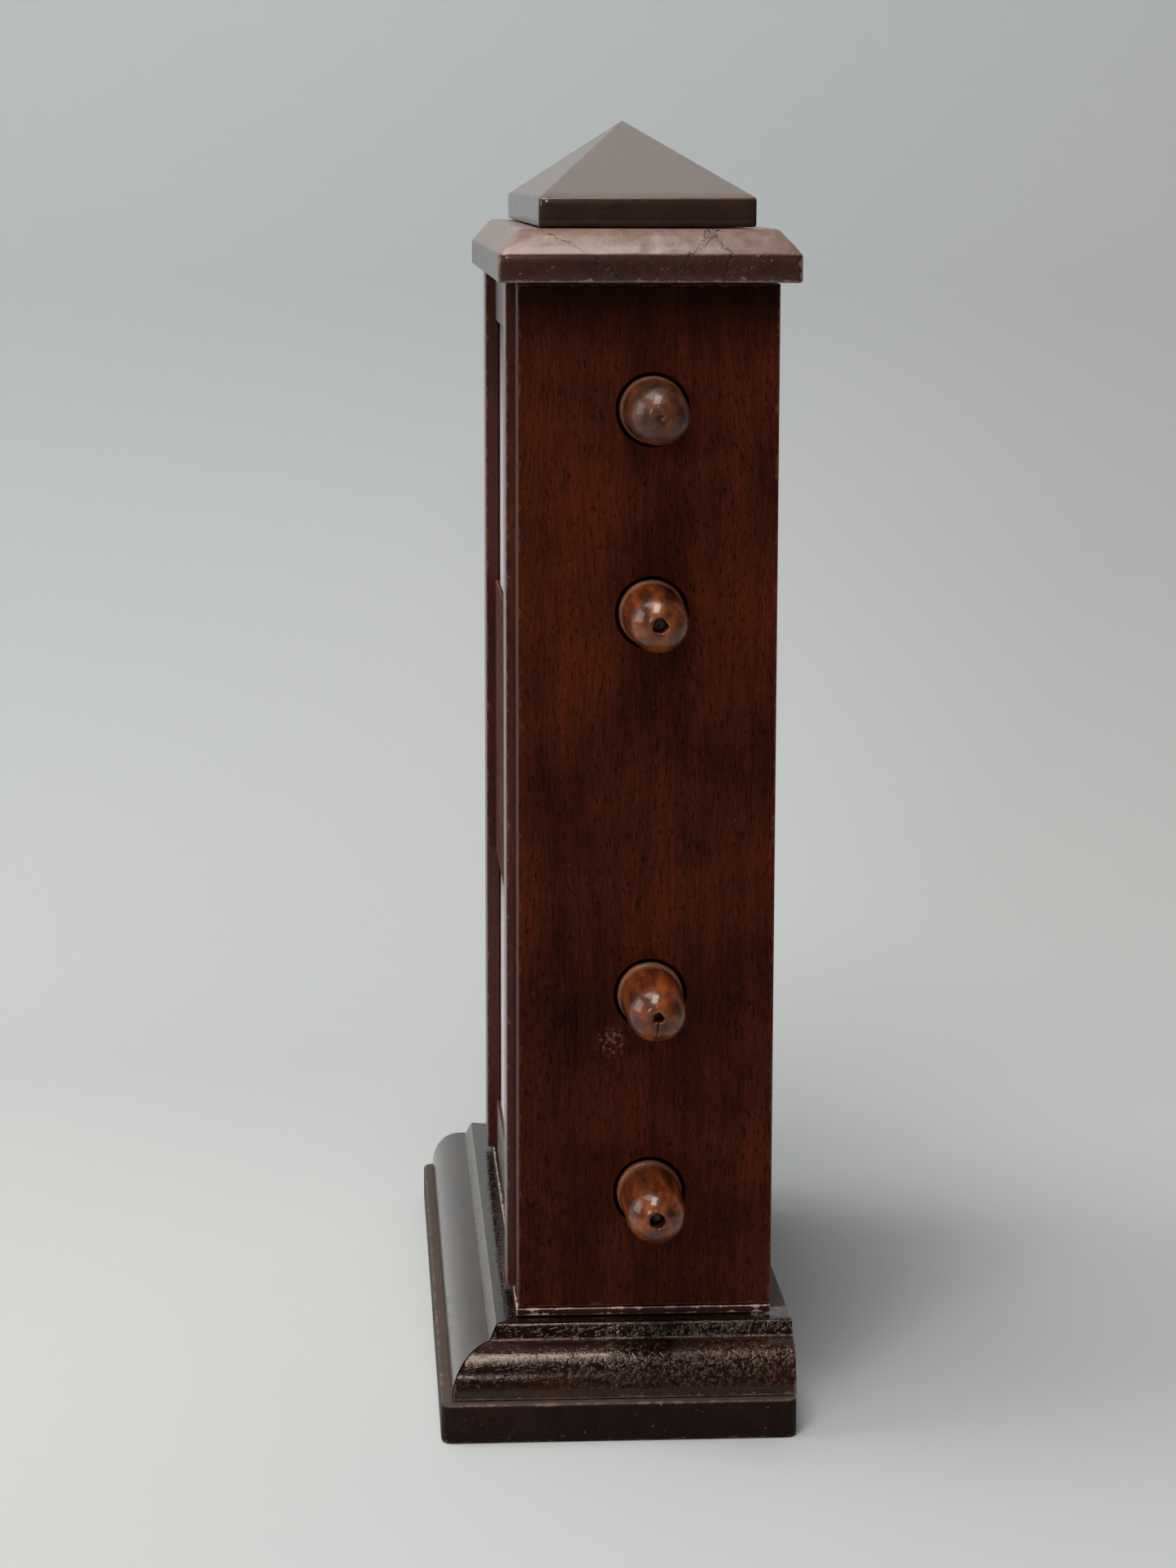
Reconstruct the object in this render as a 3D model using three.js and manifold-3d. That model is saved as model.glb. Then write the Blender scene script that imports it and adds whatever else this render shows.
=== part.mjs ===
// Scroll case: a small upright wooden case on a moulded base, with four rollers that are turned
// by knobs on its right-hand side. Two rollers hold each of the two scroll bands, and the
// bands are read through an upper and a lower window in the front.
//
// Millimetres. +Z is up, the windows face -Y, the knobs are on the +X side. The origin is the
// centre of the base's underside.

import * as THREE from 'three';
import { mergeVertices } from 'three/addons/utils/BufferGeometryUtils.js';
import Module from 'manifold-3d';

const wasm = await Module();
wasm.setup();

// ---- driving dimensions ----------------------------------------------------------------

const GAP = 0.3; // left between pieces that touch
const CUT_PAST = 1.0; // how far a cutter runs past the face that it opens

const PLINTH = { width: 205.6, depth: 79.6, height: 9.0, cornerRadius: 2.5, edgeRound: 0.9 };

const MOULDING = {
  ledge: 2.4, // flat of the plinth left in front of the moulding
  ovoloRun: 8.7,
  ovoloRise: 10.9,
  filletSlant: 1.6,
  filletRise: 3.4,
  stripWidth: 22.0,
};

const CASE = {
  width: 170.0,
  depth: 57.2,
  height: 229.6,
  frontSetback: 18.0, // from the plinth's front edge to the side panels' front edge
  sideThickness: 16.0,
  floorThickness: 1.7,
  floorLip: 0.5,
};

const BACK = { thickness: 6.0, rebate: 8.0, screwHeights: [0.08, 0.5, 0.92] };

const FRONT = {
  proud: 2.0, // how far the frame stands in front of the side panels
  thickness: 8.0,
  memberWidth: 13.0,
  lipDepth: 3.4, // from the stiles' face to the back of the lips
  lipWidth: 3.0,
  middleBottom: 105.2,
  middleTop: 176.0,
  railRecess: 2.4, // how far the rails lie behind the stiles
};

const GLASS = { thickness: 2.0, edgePlay: 0.4 };
const BEAD = { width: 2.3 };

const CORNICE = { overhang: 4.4, face: 6.1, chamferRise: 5.4, chamferInset: 4.9 };
const CAP = { inset: 9.2, face: 6.4, rise: 17.4, edge: 0.5, peak: 0.4 };

const ROLLER = { radius: 8.0, journalRadius: 6.0, journalLength: 9.0, endPlay: 0.3 };
const AXLE = { radius: 1.35, bore: 1.65 };
const SCROLL = { width: 100.0, woundRadius: 10.5, paper: 0.5 };
const KNOB = {
  reach: 24.0, // how far the tip stands out of the side panel
  radius: 6.85, // where the body leaves the collar
  domeRadius: 6.5, // where the body turns in to its domed tip
  domeLength: 6.8,
  tipRadius: 2.6, // the flat round the axle's hole
  collarRadius: 7.35,
  collarWidth: 2.4,
  holeRadius: 8.2,
  holeDepth: 6.5,
  axleDepth: 5.0, // from the tip down to the axle's end
};
const KNOB_AXIS_OFFSET = 0.9; // behind the middle of the case's depth

const SCREW = {
  headRadius: 2.3,
  headHeight: 1.3,
  headSides: 20,
  shankRadius: 1.2,
  shankSides: 12,
  slot: 0.6,
  backEdge: 3.6, // from the back panel's side edge to its screws
  baseY: [-12.0, 20.0],
};

const ROLLER_HEIGHTS = {
  upper_feed: 228.3,
  upper_takeup: 183.7,
  lower_feed: 97.9,
  lower_takeup: 52.3,
};

const BANDS = {
  upper: { top: 'upper_feed', bottom: 'upper_takeup' },
  lower: { top: 'lower_feed', bottom: 'lower_takeup' },
};

// ---- places worked out from them -------------------------------------------------------

const plinthFront = -PLINTH.depth / 2;
const plinthBack = PLINTH.depth / 2;
const mouldingBottom = PLINTH.height + GAP;
const mouldingTop = mouldingBottom + MOULDING.ovoloRise + MOULDING.filletRise;
const floorBottom = mouldingTop + GAP;
const caseBottom = floorBottom + CASE.floorThickness + GAP;
const caseTop = caseBottom + CASE.height;
const caseFront = plinthFront + CASE.frontSetback;
const caseBack = caseFront + CASE.depth;
const caseMiddleY = (caseFront + caseBack) / 2;
const sideOuter = CASE.width / 2;
const sideInner = sideOuter - CASE.sideThickness;
const frameFace = caseFront - FRONT.proud;
const frameBack = frameFace + FRONT.thickness;
const frameOuter = sideInner - GAP;
const openingHalf = frameOuter - FRONT.memberWidth;
const bottomRailTop = caseBottom + FRONT.memberWidth;
const topRailBottom = caseTop - FRONT.memberWidth;
const railFace = frameFace + FRONT.railRecess;
const rabbet = FRONT.lipWidth - GLASS.edgePlay;
const glassFace = frameFace + FRONT.lipDepth + GAP;
const corniceBottom = caseTop + GAP;
const capBottom = corniceBottom + CORNICE.face + CORNICE.chamferRise + GAP;
const rollerY = caseMiddleY + KNOB_AXIS_OFFSET;
const journalEnd = sideInner + ROLLER.journalLength;
const knobRoot = sideOuter - KNOB.holeDepth + GAP;
const knobTip = sideOuter + KNOB.reach;

// ---- materials -------------------------------------------------------------------------

function finish(color, roughness, metalness = 0) {
  return new THREE.MeshStandardMaterial({ color, roughness, metalness });
}

const MATERIALS = {
  caseWood: finish('#3a1f15', 0.35),
  baseWood: finish('#2e1c17', 0.35),
  corniceWood: finish('#4a322b', 0.4),
  capWood: finish('#6b5148', 0.5),
  innerWood: finish('#6d4a30', 0.7),
  knobWood: finish('#7a4427', 0.3),
  rollerWood: finish('#9a6f45', 0.6),
  band: finish('#d8c9a6', 0.9),
  pane: finish('#cfd8d6', 0.05),
  brass: finish('#a98a4a', 0.35, 1),
  steel: finish('#8a8d90', 0.4, 1),
};

// ---- geometry helpers ------------------------------------------------------------------

function weld(geometry) {
  const bare = geometry.clone();
  bare.deleteAttribute('normal');
  bare.deleteAttribute('uv');
  return mergeVertices(bare, 1e-4);
}

function toSolid(geometry) {
  const welded = weld(geometry);
  return new wasm.Manifold(
    new wasm.Mesh({
      numProp: 3,
      vertProperties: new Float32Array(welded.attributes.position.array),
      triVerts: new Uint32Array(welded.index.array),
    }),
  );
}

function fromSolid(solid) {
  const mesh = solid.getMesh();
  const geometry = new THREE.BufferGeometry();
  geometry.setAttribute('position', new THREE.BufferAttribute(mesh.vertProperties, 3));
  geometry.setIndex(new THREE.BufferAttribute(mesh.triVerts, 1));
  return geometry;
}

function cut(geometry, cutters) {
  let solid = toSolid(geometry);
  for (const cutter of cutters) {
    solid = solid.subtract(toSolid(cutter));
  }
  return fromSolid(solid);
}

function overlapOf(first, second) {
  return fromSolid(toSolid(first).intersect(toSolid(second)));
}

function block([x0, x1], [y0, y1], [z0, z1]) {
  const geometry = new THREE.BoxGeometry(x1 - x0, y1 - y0, z1 - z0);
  return geometry.translate((x0 + x1) / 2, (y0 + y1) / 2, (z0 + z1) / 2);
}

function outline(points) {
  return new THREE.Shape(points.map(([u, v]) => new THREE.Vector2(u, v)));
}

// A plan outline in X and Y, raised from z0 to z1.
function uprightPrism(points, z0, z1) {
  const options = { depth: z1 - z0, bevelEnabled: false };
  return new THREE.ExtrudeGeometry(outline(points), options).translate(0, 0, z0);
}

// A section in Y and Z, run from x0 to x1.
function lengthwisePrism(points, x0, x1) {
  const options = { depth: x1 - x0, bevelEnabled: false };
  const turn = new THREE.Matrix4().makeBasis(
    new THREE.Vector3(0, 1, 0),
    new THREE.Vector3(0, 0, 1),
    new THREE.Vector3(1, 0, 0),
  );
  return new THREE.ExtrudeGeometry(outline(points), options).applyMatrix4(turn).translate(x0, 0, 0);
}

// A rod or a bore along X.
function rodAlongX(radius, x0, x1, y, z, sides = 32) {
  const geometry = new THREE.CylinderGeometry(radius, radius, x1 - x0, sides);
  return geometry.rotateZ(-Math.PI / 2).translate((x0 + x1) / 2, y, z);
}

// A ring-shaped section, given as [x, radius] points, turned about the X axis.
function turnedAlongX(points, sides) {
  const profile = points.map(([x, radius]) => new THREE.Vector2(radius, x)).reverse();
  profile.push(profile[0].clone());
  return new THREE.LatheGeometry(profile, sides).rotateZ(-Math.PI / 2);
}

function mirrorX(points) {
  return points.map(([x, y]) => [-x, y]).reverse();
}

// ---- base ------------------------------------------------------------------------------

function plinthBoard() {
  const { width, depth, height, cornerRadius, edgeRound } = PLINTH;
  const halfX = width / 2 - edgeRound;
  const halfY = depth / 2 - edgeRound;
  const radius = cornerRadius - edgeRound;
  const shape = new THREE.Shape();
  shape.moveTo(-halfX + radius, -halfY);
  shape.lineTo(halfX - radius, -halfY);
  shape.absarc(halfX - radius, -halfY + radius, radius, -Math.PI / 2, 0, false);
  shape.lineTo(halfX, halfY - radius);
  shape.absarc(halfX - radius, halfY - radius, radius, 0, Math.PI / 2, false);
  shape.lineTo(-halfX + radius, halfY);
  shape.absarc(-halfX + radius, halfY - radius, radius, Math.PI / 2, Math.PI, false);
  shape.lineTo(-halfX, -halfY + radius);
  shape.absarc(-halfX + radius, -halfY + radius, radius, Math.PI, Math.PI * 1.5, false);
  const board = new THREE.ExtrudeGeometry(shape, {
    depth: height - 2 * edgeRound,
    bevelThickness: edgeRound,
    bevelSize: edgeRound,
    bevelSegments: 2,
    curveSegments: 3,
  }).translate(0, 0, edgeRound);
  const wells = baseScrewPlaces().map(([x, y]) => screwWell(x, y));
  return cut(board, [...wells, ...baseShankHoles()]);
}

// The moulding's section: distance in from the plinth's edge, and height.
function mouldingSection() {
  const { ledge, ovoloRun, ovoloRise, filletSlant, stripWidth } = MOULDING;
  const steps = 8;
  const section = [];
  for (let step = 0; step <= steps; step += 1) {
    const angle = (step / steps) * (Math.PI / 2);
    section.push([
      ledge + ovoloRun * (1 - Math.cos(angle)),
      mouldingBottom + ovoloRise * Math.sin(angle),
    ]);
  }
  section.push([ledge + ovoloRun + filletSlant, mouldingTop]);
  section.push([stripWidth, mouldingTop]);
  section.push([stripWidth, mouldingBottom]);
  return section;
}

function frontMoulding() {
  const section = mouldingSection().map(([inward, z]) => [plinthFront + inward, z]);
  const half = PLINTH.width / 2;
  const strip = lengthwisePrism(section.reverse(), -half, half);
  const reach = MOULDING.stripWidth;
  const mitres = uprightPrism(
    [
      [-half + GAP, plinthFront],
      [half - GAP, plinthFront],
      [half - GAP - reach, plinthFront + reach],
      [-half + GAP + reach, plinthFront + reach],
    ],
    0,
    caseBottom,
  );
  return overlapOf(strip, mitres);
}

function sideMoulding(side) {
  const half = PLINTH.width / 2;
  const section = mouldingSection().map(([inward, z]) => [half - inward, z]);
  const length = PLINTH.depth;
  const options = { depth: length, bevelEnabled: false };
  // The section lies in X and Z, so it is stood up and run back along Y.
  const strip = new THREE.ExtrudeGeometry(outline(section), options)
    .rotateX(Math.PI / 2)
    .translate(0, plinthBack, 0);
  const reach = MOULDING.stripWidth;
  const plan = [
    [half, plinthFront + GAP],
    [half, plinthBack],
    [half - reach, plinthBack],
    [half - reach, plinthFront + GAP + reach],
  ];
  const piece = overlapOf(strip, uprightPrism(plan, 0, caseBottom));
  return side > 0 ? piece : mirrored(piece);
}

function mirrored(geometry) {
  const copy = geometry.clone().scale(-1, 1, 1);
  const index = copy.index.array;
  for (let i = 0; i < index.length; i += 3) {
    [index[i], index[i + 1]] = [index[i + 1], index[i]];
  }
  return copy;
}

function baseCore() {
  const half = PLINTH.width / 2 - MOULDING.stripWidth - GAP;
  const front = plinthFront + MOULDING.stripWidth + GAP;
  const core = block([-half, half], [front, plinthBack], [mouldingBottom, mouldingTop]);
  return cut(core, baseShankHoles());
}

function caseFloor() {
  const half = sideOuter + CASE.floorLip;
  const front = caseFront - CASE.floorLip;
  return block([-half, half], [front, caseBack], [floorBottom, caseBottom - GAP]);
}

// ---- case ------------------------------------------------------------------------------

function sidePanelPlan() {
  return [
    [sideInner, caseFront],
    [sideOuter, caseFront],
    [sideOuter, caseBack],
    [sideOuter - BACK.rebate, caseBack],
    [sideOuter - BACK.rebate, caseBack - BACK.thickness - GAP],
    [sideInner, caseBack - BACK.thickness - GAP],
  ];
}

function rightSidePanel() {
  const panel = uprightPrism(sidePanelPlan(), caseBottom, caseTop);
  const [inside, outside] = [sideInner - CUT_PAST, sideOuter + CUT_PAST];
  const bores = Object.values(ROLLER_HEIGHTS).flatMap((z) => [
    rodAlongX(ROLLER.journalRadius + GAP, inside, outside, rollerY, z, 24),
    rodAlongX(KNOB.holeRadius, sideOuter - KNOB.holeDepth, outside, rollerY, z, 32),
  ]);
  return cut(panel, bores);
}

function leftSidePanel() {
  const panel = uprightPrism(mirrorX(sidePanelPlan()), caseBottom, caseTop);
  const bores = Object.values(ROLLER_HEIGHTS).map((z) =>
    rodAlongX(ROLLER.journalRadius + GAP, -journalEnd - GAP, CUT_PAST - sideInner, rollerY, z, 24),
  );
  return cut(panel, bores);
}

function backScrewPlaces() {
  const inset = sideOuter - BACK.rebate - SCREW.backEdge;
  const heights = BACK.screwHeights.map((part) => caseBottom + part * CASE.height);
  return [-inset, inset].flatMap((x) => heights.map((z) => [x, z]));
}

function backPanel() {
  const half = sideOuter - BACK.rebate - GAP;
  const panel = block([-half, half], [caseBack - BACK.thickness, caseBack], [caseBottom, caseTop]);
  const wells = backScrewPlaces().flatMap(([x, z]) =>
    [screwWell(0, 0), shankHole(0, 0)].map((hole) => hole.rotateX(Math.PI / 2).translate(x, caseBack, z)),
  );
  return cut(panel, wells);
}

// The upright hole for a screw's head, centred on the face that it is sunk into.
function screwWell(x, y) {
  const radius = SCREW.headRadius + GAP;
  const depth = SCREW.headHeight + 2 * GAP;
  return new THREE.CylinderGeometry(radius, radius, 2 * depth, SCREW.headSides)
    .rotateX(Math.PI / 2)
    .translate(x, y, 0);
}

function shankHole(x, y) {
  const radius = SCREW.shankRadius + GAP;
  return new THREE.CylinderGeometry(radius, radius, 2 * caseBottom, SCREW.shankSides)
    .rotateX(Math.PI / 2)
    .translate(x, y, 0);
}

function baseShankHoles() {
  return baseScrewPlaces().map(([x, y]) => shankHole(x, y));
}

// A slotted screw along Z: the head's flat top is at 0, and the shank goes down.
function screw(length) {
  const { headRadius, headHeight, headSides, shankRadius, shankSides, slot } = SCREW;
  const head = new THREE.CylinderGeometry(headRadius, headRadius, headHeight, headSides)
    .rotateX(Math.PI / 2)
    .translate(0, 0, -headHeight / 2);
  const shank = new THREE.CylinderGeometry(shankRadius, shankRadius, length, shankSides)
    .rotateX(Math.PI / 2)
    .translate(0, 0, -length / 2);
  const groove = block([-headRadius, headRadius], [-slot / 2, slot / 2], [-slot, slot]);
  return fromSolid(toSolid(head).add(toSolid(shank)).subtract(toSolid(groove)));
}

function backScrew([x, z], index) {
  const length = BACK.thickness - GAP;
  return screw(length).rotateZ(index).rotateX(-Math.PI / 2).translate(x, caseBack - GAP, z);
}

function baseScrewPlaces() {
  return SCREW.baseY.flatMap((y) => [
    [-sideInner, y],
    [sideInner, y],
  ]);
}

function baseScrew([x, y], index) {
  const length = mouldingTop - 3 * GAP;
  return screw(length).rotateZ(index).rotateX(Math.PI).translate(x, y, GAP);
}

// ---- front frame -----------------------------------------------------------------------

function stile(side) {
  const { memberWidth, lipDepth, lipWidth } = FRONT;
  const inner = frameOuter - memberWidth;
  const plan = [
    [inner, frameFace],
    [frameOuter, frameFace],
    [frameOuter, frameBack],
    [inner + lipWidth, frameBack],
    [inner + lipWidth, frameFace + lipDepth],
    [inner, frameFace + lipDepth],
  ];
  return uprightPrism(side > 0 ? plan : mirrorX(plan), caseBottom, caseTop);
}

function topRail() {
  const { lipDepth, lipWidth } = FRONT;
  const section = [
    [railFace, topRailBottom],
    [frameFace + lipDepth, topRailBottom],
    [frameFace + lipDepth, topRailBottom + lipWidth],
    [frameBack, topRailBottom + lipWidth],
    [frameBack, caseTop],
    [railFace, caseTop],
  ];
  return lengthwisePrism(section, -openingHalf + GAP, openingHalf - GAP);
}

function bottomRail() {
  const { lipDepth, lipWidth } = FRONT;
  const section = [
    [railFace, caseBottom],
    [frameBack, caseBottom],
    [frameBack, bottomRailTop - lipWidth],
    [frameFace + lipDepth, bottomRailTop - lipWidth],
    [frameFace + lipDepth, bottomRailTop],
    [railFace, bottomRailTop],
  ];
  return lengthwisePrism(section, -openingHalf + GAP, openingHalf - GAP);
}

function middleRail() {
  const { middleBottom, middleTop, lipDepth, lipWidth } = FRONT;
  const lipBack = frameFace + lipDepth;
  const section = [
    [railFace, middleBottom],
    [lipBack, middleBottom],
    [lipBack, middleBottom + lipWidth],
    [frameBack, middleBottom + lipWidth],
    [frameBack, middleTop - lipWidth],
    [lipBack, middleTop - lipWidth],
    [lipBack, middleTop],
    [railFace, middleTop],
  ];
  return lengthwisePrism(section, -openingHalf + GAP, openingHalf - GAP);
}

const WINDOWS = {
  upper: [FRONT.middleTop, topRailBottom],
  lower: [bottomRailTop, FRONT.middleBottom],
};

function pane([low, high]) {
  const half = openingHalf + rabbet;
  const faceY = [glassFace, glassFace + GLASS.thickness];
  return block([-half, half], faceY, [low - rabbet, high + rabbet]);
}

// Four strips behind a pane, held in the frame's rabbet.
function glazingBeads([low, high]) {
  const half = openingHalf + rabbet;
  const depth = [glassFace + GLASS.thickness + GAP, frameBack];
  const bottom = low - rabbet;
  const top = high + rabbet;
  const { width } = BEAD;
  const between = [-half + width + GAP, half - width - GAP];
  return {
    left: block([-half, -half + width], depth, [bottom, top]),
    right: block([half - width, half], depth, [bottom, top]),
    bottom: block(between, depth, [bottom, bottom + width]),
    top: block(between, depth, [top - width, top]),
  };
}

// ---- top -------------------------------------------------------------------------------

// A rectangular slab whose plan shrinks in steps: a list of [half X, half Y, height].
function taperedSlab(levels) {
  const vertices = [];
  const faces = [];
  for (const [halfX, halfY, z] of levels) {
    vertices.push([-halfX, -halfY, z], [halfX, -halfY, z], [halfX, halfY, z], [-halfX, halfY, z]);
  }
  const last = (levels.length - 1) * 4;
  for (let level = 0; level < last; level += 4) {
    for (let corner = 0; corner < 4; corner += 1) {
      const next = (corner + 1) % 4;
      faces.push(level + corner, level + next, level + 4 + next);
      faces.push(level + corner, level + 4 + next, level + 4 + corner);
    }
  }
  faces.push(0, 2, 1, 0, 3, 2);
  faces.push(last, last + 1, last + 2, last, last + 2, last + 3);
  const geometry = new THREE.BufferGeometry();
  const flat = new Float32Array(vertices.flat());
  geometry.setAttribute('position', new THREE.BufferAttribute(flat, 3));
  geometry.setIndex(faces);
  return geometry;
}

function corniceBoard() {
  const halfX = sideOuter + CORNICE.overhang;
  const halfY = CASE.depth / 2 + CORNICE.overhang;
  const faceTop = corniceBottom + CORNICE.face;
  const inset = CORNICE.chamferInset;
  const slab = taperedSlab([
    [halfX, halfY, corniceBottom],
    [halfX, halfY, faceTop],
    [halfX - inset, halfY - inset, faceTop + CORNICE.chamferRise],
  ]);
  return slab.translate(0, caseMiddleY, 0);
}

function capBlock() {
  const halfX = sideOuter + CORNICE.overhang - CAP.inset;
  const halfY = CASE.depth / 2 + CORNICE.overhang - CAP.inset;
  const eaves = capBottom + CAP.face;
  const { edge, peak } = CAP;
  const slab = taperedSlab([
    [halfX - edge, halfY - edge, capBottom],
    [halfX, halfY, capBottom + edge],
    [halfX, halfY, eaves - edge],
    [halfX - edge, halfY - edge, eaves],
    [peak, peak, eaves + CAP.rise],
  ]);
  return slab.translate(0, caseMiddleY, 0);
}

// ---- rollers, knobs and bands ----------------------------------------------------------

function roller(z) {
  const { radius, journalRadius, journalLength, endPlay } = ROLLER;
  const body = sideInner - endPlay;
  const end = body + journalLength;
  const points = [
    [-end, AXLE.bore],
    [end, AXLE.bore],
    [end, journalRadius],
    [body, journalRadius],
    [body, radius],
    [-body, radius],
    [-body, journalRadius],
    [-end, journalRadius],
  ];
  return turnedAlongX(points, 24).translate(0, rollerY, z);
}

function axle(z) {
  return rodAlongX(AXLE.radius, -journalEnd + GAP, knobTip - KNOB.axleDepth, rollerY, z, 16);
}

// How far the taper has opened from the tip's radius to the body's, t from 0 to 1.
function knob(z) {
  const { radius, domeRadius, domeLength, tipRadius, collarRadius, collarWidth } = KNOB;
  const collarStart = sideOuter - collarWidth / 2;
  const flatAngle = Math.acos(tipRadius / domeRadius);
  const domeStart = knobTip - domeLength * Math.sin(flatAngle);
  const points = [
    [knobRoot, AXLE.bore],
    [knobTip, AXLE.bore],
  ];
  const steps = 8;
  for (let step = 0; step <= steps; step += 1) {
    const angle = flatAngle * (1 - step / steps);
    points.push([domeStart + domeLength * Math.sin(angle), domeRadius * Math.cos(angle)]);
  }
  points.push([collarStart + collarWidth, radius]);
  points.push([collarStart + collarWidth, collarRadius]);
  points.push([collarStart, collarRadius]);
  points.push([collarStart, radius]);
  points.push([knobRoot, radius]);
  return turnedAlongX(points, 32).translate(0, rollerY, z);
}

function woundRoll(z) {
  const half = SCROLL.width / 2;
  const inner = ROLLER.radius + GAP;
  const points = [
    [-half, inner],
    [half, inner],
    [half, SCROLL.woundRadius],
    [-half, SCROLL.woundRadius],
  ];
  return turnedAlongX(points, 32).translate(0, rollerY, z);
}

function bandWeb({ top, bottom }) {
  const half = SCROLL.width / 2;
  const back = rollerY - SCROLL.woundRadius - GAP;
  const heights = [ROLLER_HEIGHTS[bottom], ROLLER_HEIGHTS[top]];
  return block([-half, half], [back - SCROLL.paper, back], heights);
}

// ---- the assembly ----------------------------------------------------------------------

const assembly = new THREE.Group();

function add(name, geometry, material) {
  const mesh = new THREE.Mesh(geometry, material);
  mesh.name = name;
  assembly.add(mesh);
}

add('plinth_board', plinthBoard(), MATERIALS.baseWood);
add('base_core', baseCore(), MATERIALS.innerWood);
add('base_moulding_front', frontMoulding(), MATERIALS.baseWood);
add('base_moulding_right', sideMoulding(1), MATERIALS.baseWood);
add('base_moulding_left', sideMoulding(-1), MATERIALS.baseWood);
add('case_floor', caseFloor(), MATERIALS.caseWood);
add('side_panel_right', rightSidePanel(), MATERIALS.caseWood);
add('side_panel_left', leftSidePanel(), MATERIALS.caseWood);
add('back_panel', backPanel(), MATERIALS.caseWood);
add('front_stile_right', stile(1), MATERIALS.caseWood);
add('front_stile_left', stile(-1), MATERIALS.caseWood);
add('front_rail_top', topRail(), MATERIALS.caseWood);
add('front_rail_middle', middleRail(), MATERIALS.caseWood);
add('front_rail_bottom', bottomRail(), MATERIALS.caseWood);
add('cornice_board', corniceBoard(), MATERIALS.corniceWood);
add('cap_block', capBlock(), MATERIALS.capWood);

baseScrewPlaces().forEach((place, index) => {
  add(`base_screw_${index + 1}`, baseScrew(place, index), MATERIALS.brass);
});

backScrewPlaces().forEach((place, index) => {
  add(`back_screw_${index + 1}`, backScrew(place, index), MATERIALS.brass);
});

for (const [name, heights] of Object.entries(WINDOWS)) {
  add(`window_pane_${name}`, pane(heights), MATERIALS.pane);
  for (const [side, bead] of Object.entries(glazingBeads(heights))) {
    add(`glazing_bead_${name}_${side}`, bead, MATERIALS.innerWood);
  }
}

for (const [name, z] of Object.entries(ROLLER_HEIGHTS)) {
  add(`${name}_roller`, roller(z), MATERIALS.rollerWood);
  add(`${name}_axle`, axle(z), MATERIALS.steel);
  add(`${name}_knob`, knob(z), MATERIALS.knobWood);
  add(`${name}_wound_roll`, woundRoll(z), MATERIALS.band);
}

for (const [name, ends] of Object.entries(BANDS)) {
  add(`${name}_band`, bandWeb(ends), MATERIALS.band);
}

export default assembly;
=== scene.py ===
"""Looks for a roller scroll case: an old polished hardwood case with four turned knobs.

Metres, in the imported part's frame: +Z is up, the windows face -Y, the knobs stand out of +X.
Nearly every CAD node is replaced by a finer piece, worked out from that node's own box.
"""

import math

import bmesh
import bpy
from mathutils import Matrix, Vector, noise


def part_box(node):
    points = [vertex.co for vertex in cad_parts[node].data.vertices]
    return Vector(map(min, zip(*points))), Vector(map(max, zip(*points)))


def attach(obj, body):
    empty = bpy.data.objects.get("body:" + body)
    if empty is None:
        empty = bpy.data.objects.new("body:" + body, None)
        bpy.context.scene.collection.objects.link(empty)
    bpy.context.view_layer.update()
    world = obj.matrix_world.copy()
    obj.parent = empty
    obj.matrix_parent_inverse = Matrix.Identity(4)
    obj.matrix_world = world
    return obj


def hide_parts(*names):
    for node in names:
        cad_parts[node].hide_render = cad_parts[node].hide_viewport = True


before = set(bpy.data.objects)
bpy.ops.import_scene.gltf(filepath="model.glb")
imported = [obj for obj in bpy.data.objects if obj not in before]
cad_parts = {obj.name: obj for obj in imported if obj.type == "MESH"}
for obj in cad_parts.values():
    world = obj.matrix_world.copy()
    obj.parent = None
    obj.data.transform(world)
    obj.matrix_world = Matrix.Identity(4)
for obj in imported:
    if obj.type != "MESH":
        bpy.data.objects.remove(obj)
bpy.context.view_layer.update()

MM = 0.001

# ---- sizes that the node boxes don't give -------------------------------------------------

GAP = 0.3 * MM  # left between pieces that touch
CUT_PAST = 1.0 * MM  # how far a cutter runs past the face that it opens
LEDGE = 2.4 * MM  # flat of the plinth in front of the moulding
OVOLO_RUN = 8.7 * MM
OVOLO_RISE = 10.9 * MM
FILLET_SLANT = 1.6 * MM
PLINTH_CORNER = 2.5 * MM
PLINTH_EDGE = 0.9 * MM
CHAMFER = 4.9 * MM
CORNICE_FACE = 6.1 * MM
CAP_FACE = 6.4 * MM
REBATE = 8.0 * MM
BACK_THICKNESS = 6.0 * MM
KNOB_HOLE = 8.2 * MM
KNOB_HOLE_DEPTH = 6.5 * MM
KNOB_RADIUS = 6.85 * MM
COLLAR_RADIUS = 7.35 * MM
COLLAR_LENGTH = 1.2 * MM  # from the side panel's face outward
DOME_RADIUS = 6.5 * MM
DOME_LENGTH = 6.8 * MM
DOME_FLAT = 2.6 * MM
TIP_HOLE = 1.6 * MM
JOURNAL = 6.0 * MM
BORE = JOURNAL + GAP
AXLE_BORE = 1.65 * MM
LIP_DEPTH = 3.4 * MM  # from the stiles' face to the back of the lips
LIP_WIDTH = 3.0 * MM
BAND_THICKNESS = 0.5 * MM

ROLLERS = ("upper_feed", "upper_takeup", "lower_feed", "lower_takeup")
WINDOWS = ("upper", "lower")
CASE = "case"


# ---- shader building ----------------------------------------------------------------------


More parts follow.
